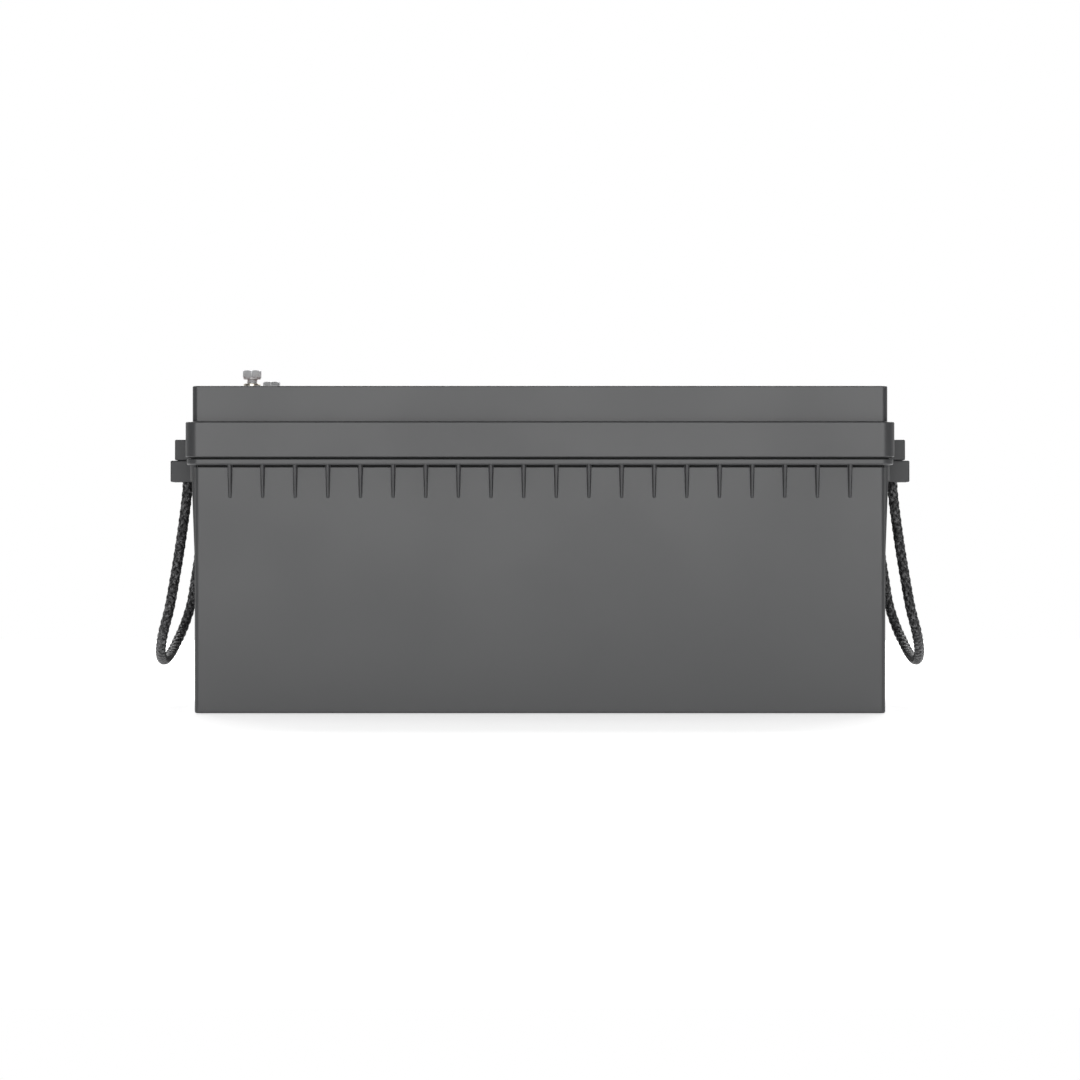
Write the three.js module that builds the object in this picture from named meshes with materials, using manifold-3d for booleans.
// A 12 V, 220 Ah-class sealed deep cycle battery with a two-tier lid, rope handles and bolt-on terminals.
// Millimetres, +Z up. The origin is the middle of the underside, +X runs along the length, and the terminals
// are at the -X end: positive at -Y, negative at +Y.
import * as THREE from "three";
import { mergeVertices } from "three/addons/utils/BufferGeometryUtils.js";
import { ConvexGeometry } from "three/addons/geometries/ConvexGeometry.js";
import Module from "manifold-3d";

const wasm = await Module();
wasm.setup();

// ---- Driving dimensions ----
const CLEARANCE = 0.3; // between two solids that meet face to face
const LENGTH = 522, WIDTH = 238, LID_TOP = 241; // over the lid's skirt, and up to the lid's flat top

// The container: an open box with six cells, a sealing rim, a flange and stiffening ribs.
const BODY_INSET = 6.6; // how far the container's wall stands back from the lid's skirt
const BODY_X = LENGTH / 2 - BODY_INSET, BODY_Y = WIDTH / 2 - BODY_INSET, BODY_CORNER = 3.6;
const WALL = 3.6, FLOOR = 4, PARTITION = 2.4;
const RIM_TOP = 211, FLANGE_LOW = 182.8, FLANGE_TOP = 187;
const FLANGE_INSET = 0.6, FLANGE_CORNER = 9, RIM_INSET = 3.9, RIM_CORNER = 5.7;
const RIB_PITCH = 24, RIBS_PER_SIDE = 20, RIB_LOW = 158.4, RIB_PROUD = 5.2;
const END_RIB_PLACES = [0, 18, 36, 98], END_RIB_LOW = 82, END_RIB_PROUD = 3.8;

// The cells, three along the length in two rows.
const PARTITION_X = 83.6;
const CELL_X = (BODY_X - WALL + PARTITION_X + PARTITION / 2) / 2; // centre of an end cell
const CELL_Y = (BODY_Y - WALL + PARTITION / 2) / 2;
const CELLS = [[-1, -1], [0, -1], [1, -1], [1, 1], [0, 1], [-1, 1]]; // in series, as column and row
const POSITIVE_PLATES = 8, POSITIVE_THICK = 4.4, NEGATIVE_THICK = 3, SEPARATOR_THICK = 2.1, PLATE_GAP = 0.15;
const PLATE_PITCH = POSITIVE_THICK + NEGATIVE_THICK + 2 * SEPARATOR_THICK + 4 * PLATE_GAP;
const PLATE_WIDE = 156, PLATE_LOW = 6.8, PLATE_TOP = 186, SEPARATOR_WIDE = 161, SEPARATOR_TOP = 189;
const STRAP_X = 60, STRAP_WIDE = 15, STRAP_LOW = 195, STRAP_TOP = 203, TAB_THICK = 3.5, TAB_TOP = 208;
const WELD_R = 6, WELD_Z = 201;

// The lid: a skirt, a ledge, and a raised tier with vent galleries and terminal pockets in its top.
const SKIRT_LOW = 188.4, LEDGE_TOP = 214.4, TIER_INSET = 5.2, LID_WALL = 3.2, LID_PLATE = 3.6;
const SKIRT_CORNER = 9.6, TIER_CORNER = 4.4, EDGE_CHAMFER = 0.7;
const GALLERY_LONG = 380, GALLERY_WIDE = 40, GALLERY_CORNER = 6, GALLERY_STEP = 2.5;
const GALLERY_FLOOR = 231.6, COVER_THICK = 2.7, COVER_GAP = 0.3;
const NECK_R = 5.5, NECK_BORE = 3.2, NECK_TOP = 235.4;
const VALVE_R = 7.6, VALVE_WALL = 1.8, VALVE_TOP = 236.9;
const PANEL_LONG = 372, PANEL_WIDE = 54, PANEL_DEEP = 0.6;

// The terminals.
const TERMINAL_X = -214.7, TERMINAL_Y = 81;
const POCKET_R = 15, POCKET_FLOOR = 236, POST_R = 9, BUSHING_R = 12.5, BUSHING_LOW = 216;
const INSERT_FLANGE_R = 10, INSERT_BOSS_R = 6.25, INSERT_TOP = 244.1, INSERT_STEM_R = 6.5, INSERT_LOW = 226;
const THREAD_R = 3.9, HOLE_LOW = 228; // M8
const HEAD_FLATS = 13, HEAD_HIGH = 5.3, HEAD_TOP = 254, SHANK_LONG = 16;
const WASHER_R = 6.45, WASHER_THICK = 1.2;

// The rope handles. Each rope runs down through two lugs, and its ends are swollen into stops on top of them.
const ROPE_R = 4, ROPE_X = 264.8, ROPE_Y = 65;
const LUG_X = 276.4, LUG_WIDE = 22, LUG_LOW = 171, LUG_BORE = 4.4;
const COVER_X = 273.1, COVER_TOP = 202.6, STOP_R = 5.6, STOP_HIGH = 8.7, STOP_ROOM = 0.5;
const HINGE_Z = 166.6; // the rope bends just below the lug's mouth
// The rope's centre line from the second bend down to the middle of the loop: out along X, across Y, and Z.
const ROPE_ROUTE = [
  [267.1, -66, 145], [270.5, -67.5, 120], [274.5, -69.2, 95], [277.9, -70, 76], [282.9, -64.5, 59],
  [287.2, -46.5, 45.4], [289.3, -24.5, 37.8], [290, 0, 35.2],
];
const ROPE_SIDES = 8, ROPE_STEPS = 32;

// ---- Materials ----
function paint(color, roughness, metalness = 0) {
  return new THREE.MeshStandardMaterial({ color, roughness, metalness });
}

const CASE_PLASTIC = paint(0x46474a, 0.5);
const RUBBER = paint(0x17181a, 0.85);
const OXIDE_PLATES = paint(0x4a2e22, 0.9);
const SPONGE_PLATES = paint(0x6f7378, 0.85, 0.3);
const GLASS_MAT = paint(0xe6e4da, 0.95);
const LEAD = paint(0x8b8f94, 0.6, 0.8);
const TINNED_BRASS = paint(0xc9c5b6, 0.35, 1);
const STEEL = paint(0xb9bcc0, 0.3, 1);
const RED_RESIN = paint(0x8e1b18, 0.3);
const BLACK_RESIN = paint(0x101114, 0.3);
const ROPE_YARN = paint(0x141416, 0.7);

// ---- Solids ----
// A closed three.js geometry as a solid that can be joined and cut.
function solid(geometry) {
  const bare = geometry.clone();
  bare.deleteAttribute("normal");
  bare.deleteAttribute("uv");
  const merged = mergeVertices(bare, 1e-4);
  const triVerts = new Uint32Array(merged.index.array);
  return new wasm.Manifold(
    new wasm.Mesh({ numProp: 3, vertProperties: merged.attributes.position.array, triVerts }),
  );
}

function geometryOf(made) {
  const { numProp, numVert, vertProperties, triVerts } = made.getMesh();
  const position = new Float32Array(numVert * 3);
  for (let i = 0; i < numVert; i++)
    position.set(vertProperties.subarray(i * numProp, i * numProp + 3), i * 3);
  const geometry = new THREE.BufferGeometry();
  geometry.setAttribute("position", new THREE.BufferAttribute(position, 3));
  geometry.setIndex(new THREE.BufferAttribute(triVerts, 1));
  geometry.computeVertexNormals();
  return geometry;
}

const join = (parts) => parts.reduce((whole, part) => whole.add(part));

// A box between two corners.
function block([x0, y0, z0], [x1, y1, z1]) {
  const geometry = new THREE.BoxGeometry(x1 - x0, y1 - y0, z1 - z0);
  return solid(geometry.translate((x0 + x1) / 2, (y0 + y1) / 2, (z0 + z1) / 2));
}

// An upright prism on a rectangle with rounded corners, centred at x, y. A chamfer goes round both its ends.
function slab(halfX, halfY, corner, low, high, { x = 0, y = 0, chamfer = 0, segments = 3 } = {}) {
  const shape = new THREE.Shape();
  const cx = halfX - corner, cy = halfY - corner;
  shape.absarc(cx, -cy, corner, -Math.PI / 2, 0);
  shape.absarc(cx, cy, corner, 0, Math.PI / 2);
  shape.absarc(-cx, cy, corner, Math.PI / 2, Math.PI);
  shape.absarc(-cx, -cy, corner, Math.PI, 1.5 * Math.PI);
  const geometry = new THREE.ExtrudeGeometry(shape, {
    depth: high - low - 2 * chamfer, curveSegments: segments, bevelEnabled: chamfer > 0,
    bevelThickness: chamfer, bevelSize: chamfer, bevelOffset: -chamfer, bevelSegments: 1,
  });
  return solid(geometry.translate(x, y, low + chamfer));
}

// A round bar along Z at x, y.
function bar(radius, low, high, x = 0, y = 0, sides = 16) {
  const geometry = new THREE.CylinderGeometry(radius, radius, high - low, sides);
  return solid(geometry.rotateX(Math.PI / 2).translate(x, y, (low + high) / 2));
}

// A turned piece: profile is a list of [radius, z], anticlockwise, which closes on itself.
function turned(profile, x = 0, y = 0, sides = 20) {
  const points = [...profile, profile[0]].map(([r, z]) => new THREE.Vector2(r, z));
  const geometry = new THREE.LatheGeometry(points, sides);
  return solid(geometry.rotateX(Math.PI / 2).translate(x, y, 0));
}

const mirrorX = (made) => made.mirror([1, 0, 0]);
const mirrorY = (made) => made.mirror([0, 1, 0]);

const battery = new THREE.Group();
function add(name, made, material, group = battery) {
  const mesh = new THREE.Mesh(geometryOf(made), material);
  mesh.name = name;
  group.add(mesh);
  return mesh;
}

// ---- Container ----
// A tapered stiffening rib that stands out along -Y from a wall at y = 0, centred on x = 0.
function rib(high, low, proud, footProud, foot, crest) {
  const points = [];
  for (const [z, out, share] of [[high, proud, 1], [low, footProud, 0.6]])
    for (const side of [-1, 1]) {
      points.push(new THREE.Vector3((side * foot * share) / 2, 1, z));
      points.push(new THREE.Vector3((side * foot * share) / 2, 0, z));
      points.push(new THREE.Vector3((side * crest * share) / 2, -out, z));
    }
  return new ConvexGeometry(points);
}

function sideRibs() {
  const parts = [];
  for (let i = 0; i < RIBS_PER_SIDE; i++) {
    const x = (i - (RIBS_PER_SIDE - 1) / 2) * RIB_PITCH;
    const one = solid(rib(FLANGE_LOW + 0.5, RIB_LOW, RIB_PROUD, 0.8, 4.2, 1.6).translate(x, -BODY_Y, 0));
    parts.push(one, mirrorY(one));
  }
  return parts;
}

function endRibs() {
  const parts = [];
  const upright = (y, high) => {
    const one = rib(high, END_RIB_LOW, END_RIB_PROUD, 0.1, 4.2, 2.2);
    return solid(one.rotateZ(Math.PI / 2).translate(BODY_X, y, 0));
  };
  const underLug = LUG_WIDE / 2 - 3;
  for (const y of [...END_RIB_PLACES, ROPE_Y - underLug, ROPE_Y + underLug])
    for (const side of y ? [-1, 1] : [1]) {
      const one = upright(side * y, Math.abs(y - ROPE_Y) < LUG_WIDE / 2 ? LUG_LOW + 0.5 : FLANGE_LOW + 0.5);
      parts.push(one, mirrorX(one));
    }
  return parts;
}

// The four lugs that the ropes run through.
function lugs() {
  const halfX = (LUG_X - BODY_X + 2) / 2;
  const at = { x: LUG_X - halfX, y: ROPE_Y, segments: 1 };
  const one = slab(halfX, LUG_WIDE / 2, 1.2, LUG_LOW, FLANGE_TOP, at);
  return [one, mirrorX(one), mirrorY(one), mirrorX(mirrorY(one))];
}

function partitions() {
  const top = RIM_TOP, half = PARTITION / 2, reach = BODY_X - WALL + 1, across = BODY_Y - WALL + 1;
  return [
    block([-reach, -half, FLOOR - 1], [reach, half, top]),
    ...[-PARTITION_X, PARTITION_X].map((x) => block([x - half, -across, FLOOR - 1], [x + half, across, top])),
  ];
}

// Where two neighbouring cells are welded together through the wall between them: place and direction.
const WELDS = [
  { x: -PARTITION_X, y: -CELL_Y, along: "x" }, { x: PARTITION_X, y: -CELL_Y, along: "x" },
  { x: CELL_X + STRAP_X, y: 0, along: "y" },
  { x: PARTITION_X, y: CELL_Y, along: "x" }, { x: -PARTITION_X, y: CELL_Y, along: "x" },
];

function weldBar({ x, y, along }, radius, half) {
  const geometry = new THREE.CylinderGeometry(radius, radius, 2 * half, 16);
  if (along === "x") geometry.rotateZ(Math.PI / 2);
  return solid(geometry.translate(x, y, WELD_Z));
}

function container() {
  const outside = join([
    slab(BODY_X, BODY_Y, BODY_CORNER, 0, FLANGE_LOW + 1, { chamfer: EDGE_CHAMFER }),
    slab(LENGTH / 2 - FLANGE_INSET, WIDTH / 2 - FLANGE_INSET, FLANGE_CORNER, FLANGE_LOW, FLANGE_TOP, {
      chamfer: EDGE_CHAMFER,
    }),
    slab(LENGTH / 2 - RIM_INSET, WIDTH / 2 - RIM_INSET, RIM_CORNER, FLANGE_LOW + 1, RIM_TOP),
    ...sideRibs(), ...endRibs(), ...lugs(),
  ]);
  const inside = slab(BODY_X - WALL, BODY_Y - WALL, 1.5, FLOOR, RIM_TOP + 1, { segments: 1 });
  const ropeHole = bar(LUG_BORE, LUG_LOW - 1, FLANGE_TOP + 1, ROPE_X, ROPE_Y, 16);
  const holes = join([ropeHole, mirrorX(ropeHole), mirrorY(ropeHole), mirrorX(mirrorY(ropeHole))]);
  const weldHoles = join(WELDS.map((weld) => weldBar(weld, WELD_R + CLEARANCE, PARTITION)));
  const walls = join(partitions()).subtract(weldHoles);
  return outside.subtract(inside).add(walls).subtract(holes);
}

add("case", container(), CASE_PLASTIC);

// ---- Lid ----
// A cover over each pair of rope stops, on the lid's end, open underneath.
function stopCovers() {
  const halfX = (COVER_X - LENGTH / 2 + 3) / 2;
  const at = { x: COVER_X - halfX, y: ROPE_Y, segments: 1 };
  const one = slab(halfX, LUG_WIDE / 2, 1.2, FLANGE_TOP + CLEARANCE, COVER_TOP, at);
  return [one, mirrorX(one), mirrorY(one), mirrorX(mirrorY(one))];
}

function stopPockets() {
  const top = FLANGE_TOP + STOP_HIGH + 3;
  const one = bar(STOP_R + STOP_ROOM, FLANGE_TOP - 1, top, ROPE_X, ROPE_Y, 16);
  return [one, mirrorX(one), mirrorY(one), mirrorX(mirrorY(one))];
}

const TERMINALS = [{ pole: "positive", y: -TERMINAL_Y }, { pole: "negative", y: TERMINAL_Y }];
const VALVES = CELLS.map(([column, row]) => [column * CELL_X, row * CELL_Y]); // one over each cell

function lid() {
  const skirt = slab(LENGTH / 2, WIDTH / 2, SKIRT_CORNER, SKIRT_LOW, LEDGE_TOP, { chamfer: EDGE_CHAMFER });
  const tierX = LENGTH / 2 - TIER_INSET, tierY = WIDTH / 2 - TIER_INSET;
  const tier = slab(tierX, tierY, TIER_CORNER, LEDGE_TOP - 2, LID_TOP, { chamfer: EDGE_CHAMFER });
  const skirtRoom = slab(
    LENGTH / 2 - RIM_INSET + CLEARANCE, WIDTH / 2 - RIM_INSET + CLEARANCE, RIM_CORNER,
    SKIRT_LOW - 1, RIM_TOP + CLEARANCE,
  );
  const tierRoom = slab(tierX - LID_WALL, tierY - LID_WALL, 1.5, RIM_TOP, LID_TOP - LID_PLATE, {
    segments: 1,
  });
  let shell = join([skirt, tier, ...stopCovers()]).subtract(join([skirtRoom, tierRoom, ...stopPockets()]));

  // Ribs under the top that stand on the container's partitions.
  const low = RIM_TOP + CLEARANCE, high = LID_TOP - LID_PLATE + 1, half = PARTITION / 2;
  const ribs = [block([-tierX + 1, -half, low], [tierX - 1, half, high])];
  for (const x of [-PARTITION_X, PARTITION_X])
    ribs.push(block([x - half, -tierY + 1, low], [x + half, tierY - 1, high]));
  shell = join([shell, ...ribs]);

  // Vent galleries with a valve neck over each cell, and terminal bushings.
  const coverFloor = LID_TOP - COVER_THICK - COVER_GAP;
  const tubs = [], hollows = [], necks = [], bores = [];
  for (const side of [-1, 1]) {
    const at = { y: side * CELL_Y };
    tubs.push(slab(GALLERY_LONG / 2, GALLERY_WIDE / 2, GALLERY_CORNER, GALLERY_FLOOR - 2.8, LID_TOP - 1, at));
    hollows.push(slab(GALLERY_LONG / 2, GALLERY_WIDE / 2, GALLERY_CORNER, coverFloor, LID_TOP + 1, at));
    hollows.push(slab(
      GALLERY_LONG / 2 - GALLERY_STEP, GALLERY_WIDE / 2 - GALLERY_STEP, GALLERY_CORNER - GALLERY_STEP,
      GALLERY_FLOOR, LID_TOP, at,
    ));
  }
  for (const [x, y] of VALVES) {
    necks.push(bar(NECK_R, GALLERY_FLOOR - 4, NECK_TOP, x, y, 12));
    bores.push(bar(NECK_BORE, GALLERY_FLOOR - 6, NECK_TOP + 1, x, y, 8));
  }
  for (const { y } of TERMINALS) {
    tubs.push(bar(BUSHING_R, BUSHING_LOW, LID_TOP - 1, TERMINAL_X, y));
    tubs.push(bar(POCKET_R + 2, POCKET_FLOOR - 3, LID_TOP - 1, TERMINAL_X, y));
    bores.push(bar(POST_R + CLEARANCE, BUSHING_LOW - 1, POCKET_FLOOR + 1, TERMINAL_X, y));
    bores.push(bar(POCKET_R, POCKET_FLOOR, LID_TOP + 1, TERMINAL_X, y, 24));
  }
  hollows.push(slab(PANEL_LONG / 2, PANEL_WIDE / 2, 4, LID_TOP - PANEL_DEEP, LID_TOP + 1, { segments: 3 }));

  // Raised polarity signs beside the pockets.
  const signs = [];
  const signX = TERMINAL_X + POCKET_R + 9, arm = 4, narrow = 0.9;
  for (const { pole, y } of TERMINALS)
    for (const [halfX, halfY] of pole === "positive" ? [[arm, narrow], [narrow, arm]] : [[arm, narrow]])
      signs.push(block([signX - halfX, y - halfY, LID_TOP - 0.5], [signX + halfX, y + halfY, LID_TOP + 0.5]));
  return join([join([shell, ...tubs]).subtract(join(hollows)), ...necks, ...signs]).subtract(join(bores));
}

add("lid", lid(), CASE_PLASTIC);

function ventCover(side) {
  const y = side * CELL_Y, low = LID_TOP - COVER_THICK;
  const plate = slab(
    GALLERY_LONG / 2 - CLEARANCE, GALLERY_WIDE / 2 - CLEARANCE, GALLERY_CORNER - CLEARANCE,
    low, LID_TOP, { y },
  );
  const slots = [];
  for (const column of [-1, 0, 1])
    for (const offset of [-3, 0, 3]) {
      const x = column * CELL_X + offset * 2;
      slots.push(block([x - 0.8, y - 6, low - 1], [x + 0.8, y + 6, LID_TOP + 1]));
    }
  const prise = bar(4, LID_TOP - 1.2, LID_TOP + 1, GALLERY_LONG / 2, y);
  return plate.subtract(join([...slots, prise, mirrorX(prise)]));
}

add("vent_cover_front", ventCover(-1), CASE_PLASTIC);
add("vent_cover_rear", ventCover(1), CASE_PLASTIC);

// A rubber cap that sits over a valve neck and lifts when gas has to leave the cell.
VALVES.forEach(([x, y], i) => {
  const low = GALLERY_FLOOR + CLEARANCE, inner = NECK_R + CLEARANCE, roof = NECK_TOP + CLEARANCE;
  const outline = [
    [0, roof], [inner, roof], [inner, low], [inner + VALVE_WALL, low], [VALVE_R, low + 0.8],
    [VALVE_R, VALVE_TOP - 0.6], [VALVE_R - 0.6, VALVE_TOP], [0, VALVE_TOP],
  ];
  add(`valve_cap_${i + 1}`, turned(outline, x, y, 12), RUBBER);
});

// ---- Cells ----
// A row of upright plates side by side along Y, each with a lug up to one strap. Centred on x = y = 0.
function plateGroup(count, thick, strapX) {
  const parts = [];
  for (let i = 0; i < count; i++) {
    const y = (i - (count - 1) / 2) * PLATE_PITCH, half = thick / 2;
    parts.push(block([-PLATE_WIDE / 2, y - half, PLATE_LOW], [PLATE_WIDE / 2, y + half, PLATE_TOP]));
    const low = PLATE_TOP - 1, high = STRAP_LOW + 1;
    parts.push(block([strapX - 6, y - half + 0.4, low], [strapX + 6, y + half - 0.4, high]));
  }
  const reach = ((count - 1) / 2) * PLATE_PITCH + thick / 2;
  const half = STRAP_WIDE / 2;
  parts.push(block([strapX - half, -reach, STRAP_LOW], [strapX + half, reach, STRAP_TOP]));
  return join(parts);
}

// The upright tab on a strap that the weld through the wall joins to its neighbour.
function strapTab(weld, cell, strapX, reach) {
  const wall = PARTITION / 2 + CLEARANCE;
  const height = [STRAP_LOW, TAB_TOP];
  if (weld.along === "x") {
    const near = weld.x - cell.x, towards = Math.sign(near);
    const face = near - towards * wall, back = strapX;
    return block(
      [Math.min(face, back), -12, height[0]], [Math.max(face, back), 12, STRAP_TOP],
    ).add(block(
      [Math.min(face, face - towards * TAB_THICK), -12, height[0]],
      [Math.max(face, face - towards * TAB_THICK), 12, height[1]],
    ));
  }
  const near = weld.y - cell.y, towards = Math.sign(near), face = near - towards * wall;
  const back = towards * (reach - 2);
  return block(
    [strapX - STRAP_WIDE / 2, Math.min(face, back), height[0]],
    [strapX + STRAP_WIDE / 2, Math.max(face, back), TAB_TOP],
  );
}

// The felted glass mat: one sheet in every gap between plates, on a sheet under the plates.
function separatorPack() {
  const wide = SEPARATOR_WIDE / 2;
  const base = block([-wide, -50.6, FLOOR + CLEARANCE], [wide, 50.6, PLATE_LOW - CLEARANCE]);
  const sheets = [];
  for (let i = 0; i < 2 * POSITIVE_PLATES; i++) {
    const pair = Math.floor(i / 2) - (POSITIVE_PLATES - 1) / 2;
    const offset = POSITIVE_THICK / 2 + PLATE_GAP + SEPARATOR_THICK / 2;
    const y = pair * PLATE_PITCH + (i % 2 ? offset : -offset);
    const half = SEPARATOR_THICK / 2;
    sheets.push(block([-wide, y - half, FLOOR + 1], [wide, y + half, SEPARATOR_TOP]));
  }
  return join([base, ...sheets]);
}

CELLS.forEach(([column, row], i) => {
  const cell = { x: column * CELL_X, y: row * CELL_Y };
  const group = new THREE.Group();
  group.position.set(cell.x, cell.y, 0);
  battery.add(group);
  const before = WELDS[i - 1], after = WELDS[i];
  const terminalSide = TERMINAL_X - cell.x;
  const side = (weld) => (weld.along === "x" ? Math.sign(weld.x - cell.x) : 1) * STRAP_X;
  const positiveX = before ? side(before) : terminalSide;
  const negativeX = after ? side(after) : terminalSide;
  const positiveReach = ((POSITIVE_PLATES - 1) / 2) * PLATE_PITCH + POSITIVE_THICK / 2;
  const negativeReach = (POSITIVE_PLATES / 2) * PLATE_PITCH + NEGATIVE_THICK / 2;
  let positive = plateGroup(POSITIVE_PLATES, POSITIVE_THICK, positiveX);
  let negative = plateGroup(POSITIVE_PLATES + 1, NEGATIVE_THICK, negativeX);
  if (before) positive = positive.add(strapTab(before, cell, positiveX, positiveReach));
  if (after) negative = negative.add(strapTab(after, cell, negativeX, negativeReach));
  add(`positive_plates_${i + 1}`, positive, OXIDE_PLATES, group);
  add(`negative_plates_${i + 1}`, negative, SPONGE_PLATES, group);
  add(`separators_${i + 1}`, separatorPack(), GLASS_MAT, group);
});

WELDS.forEach((weld, i) => {
  add(`cell_weld_${i + 1}_${i + 2}`, weldBar(weld, WELD_R, PARTITION / 2 + 0.1), LEAD);
});

// ---- Terminals ----
TERMINALS.forEach(({ pole, y }) => {
  const group = new THREE.Group();
  group.position.set(TERMINAL_X, y, 0);
  battery.add(group);

  const socket = INSERT_STEM_R + CLEARANCE, postTop = POCKET_FLOOR + 0.2;
  add(`terminal_post_${pole}`, turned([
    [0, STRAP_TOP + CLEARANCE], [POST_R + 2, STRAP_TOP + CLEARANCE], [POST_R, STRAP_TOP + 6],
    [POST_R, postTop], [socket, postTop], [socket, INSERT_LOW - CLEARANCE], [0, INSERT_LOW - CLEARANCE],
  ]), LEAD, group);

  const hole = THREAD_R + CLEARANCE, flangeLow = postTop + CLEARANCE;
  add(`terminal_insert_${pole}`, turned([
    [0, INSERT_LOW], [INSERT_STEM_R, INSERT_LOW], [INSERT_STEM_R, flangeLow], [INSERT_FLANGE_R, flangeLow],
    [INSERT_FLANGE_R, LID_TOP - 0.4], [INSERT_FLANGE_R - 0.4, LID_TOP], [INSERT_BOSS_R, LID_TOP],
    [INSERT_BOSS_R, INSERT_TOP], [hole, INSERT_TOP], [hole, HOLE_LOW], [0, HOLE_LOW],
  ]), TINNED_BRASS, group);

  const ringLow = POCKET_FLOOR + CLEARANCE, ringR = 1.3, ringIn = INSERT_FLANGE_R + CLEARANCE;
  const ring = new THREE.TorusGeometry(ringIn + ringR, ringR, 6, 20).translate(0, 0, ringLow + ringR);
  add(`post_seal_${pole}`, solid(ring), RUBBER, group);

  const resinLow = ringLow + 2 * ringR + CLEARANCE, resinTop = LID_TOP - 0.5, resinR = POCKET_R - CLEARANCE;
  add(`terminal_resin_${pole}`, turned([
    [ringIn, resinLow], [resinR, resinLow], [resinR, resinTop], [ringIn, resinTop],
  ], 0, 0, 24), pole === "positive" ? RED_RESIN : BLACK_RESIN, group);

  const headLow = HEAD_TOP - HEAD_HIGH;
  add(`captive_washer_${pole}`, turned([
    [THREAD_R + CLEARANCE, headLow - WASHER_THICK - 0.05], [WASHER_R, headLow - WASHER_THICK - 0.05],
    [WASHER_R, headLow - 0.05], [THREAD_R + CLEARANCE, headLow - 0.05],
  ]), STEEL, group);

  const corner = HEAD_FLATS / Math.sqrt(3);
  const hexagon = bar(corner, headLow, HEAD_TOP, 0, 0, 6);
  const crown = turned([
    [0, headLow - 1], [HEAD_FLATS / 2 + 2, headLow - 1], [HEAD_FLATS / 2 + 2, HEAD_TOP - 1.15],
    [HEAD_FLATS / 2 - 0.2, HEAD_TOP], [0, HEAD_TOP],
  ]);
  const shank = turned([
    [0, headLow - SHANK_LONG], [THREAD_R - 0.8, headLow - SHANK_LONG], [THREAD_R, headLow - SHANK_LONG + 0.8],
    [THREAD_R, headLow + 1], [0, headLow + 1],
  ], 0, 0, 16);
  add(`bolt_${pole}`, hexagon.intersect(crown).add(shank), STEEL, group);
});

// ---- Rope handles ----
function ball([x, y, z]) {
  return solid(new THREE.SphereGeometry(ROPE_R, ROPE_SIDES, 8).translate(x, y, z));
}

function ropeAlong(points, steps) {
  const curve = new THREE.CatmullRomCurve3(points.map((p) => new THREE.Vector3(...p)));
  const section = new THREE.Shape();
  section.absarc(0, 0, ROPE_R, 0, 2 * Math.PI);
  const geometry = new THREE.ExtrudeGeometry(section, {
    steps, curveSegments: ROPE_SIDES / 2, extrudePath: curve, bevelEnabled: false,
  });
  return solid(geometry);
}

// One side's rope, made at +X: its ends in the lugs, a short neck under each lug, and the loop between them.
function ropeSolids() {
  const hinge = [ROPE_X, -ROPE_Y, HINGE_Z], bend = ROPE_ROUTE[0];
  const along = new THREE.Vector3(bend[0] - hinge[0], 0, bend[2] - hinge[2]);
  const short = (along.length() - ROPE_R - CLEARANCE) / along.length();
  const neckEnd = [hinge[0] + along.x * short, -ROPE_Y, hinge[2] + along.z * short];
  const stopLow = FLANGE_TOP + CLEARANCE;
  const end = turned([
    [0, HINGE_Z + ROPE_R + CLEARANCE], [ROPE_R, HINGE_Z + ROPE_R + CLEARANCE], [ROPE_R, stopLow],
    [STOP_R, stopLow], [STOP_R, stopLow + STOP_HIGH - 2], [STOP_R - 2, stopLow + STOP_HIGH],
    [0, stopLow + STOP_HIGH],
  ], ROPE_X, -ROPE_Y, 12);
  const neck = ropeAlong([hinge, neckEnd], 1).add(ball(hinge));
  const half = ROPE_ROUTE.slice(0, -1);
  const far = half.map(([x, y, z]) => [x, -y, z]).reverse();
  const whole = [...half, ROPE_ROUTE.at(-1), ...far];
  const loop = ropeAlong(whole, ROPE_STEPS).add(ball(whole[0])).add(ball(whole.at(-1)));
  return { end, neck, loop };
}

const rope = ropeSolids();
for (const [side, turn] of [["right", (made) => made], ["left", mirrorX]]) {
  add(`rope_loop_${side}`, turn(rope.loop), ROPE_YARN);
  for (const [place, flip] of [["front", (made) => made], ["rear", mirrorY]]) {
    add(`rope_end_${side}_${place}`, flip(turn(rope.end)), ROPE_YARN);
    add(`rope_neck_${side}_${place}`, flip(turn(rope.neck)), ROPE_YARN);
  }
}

export default battery;
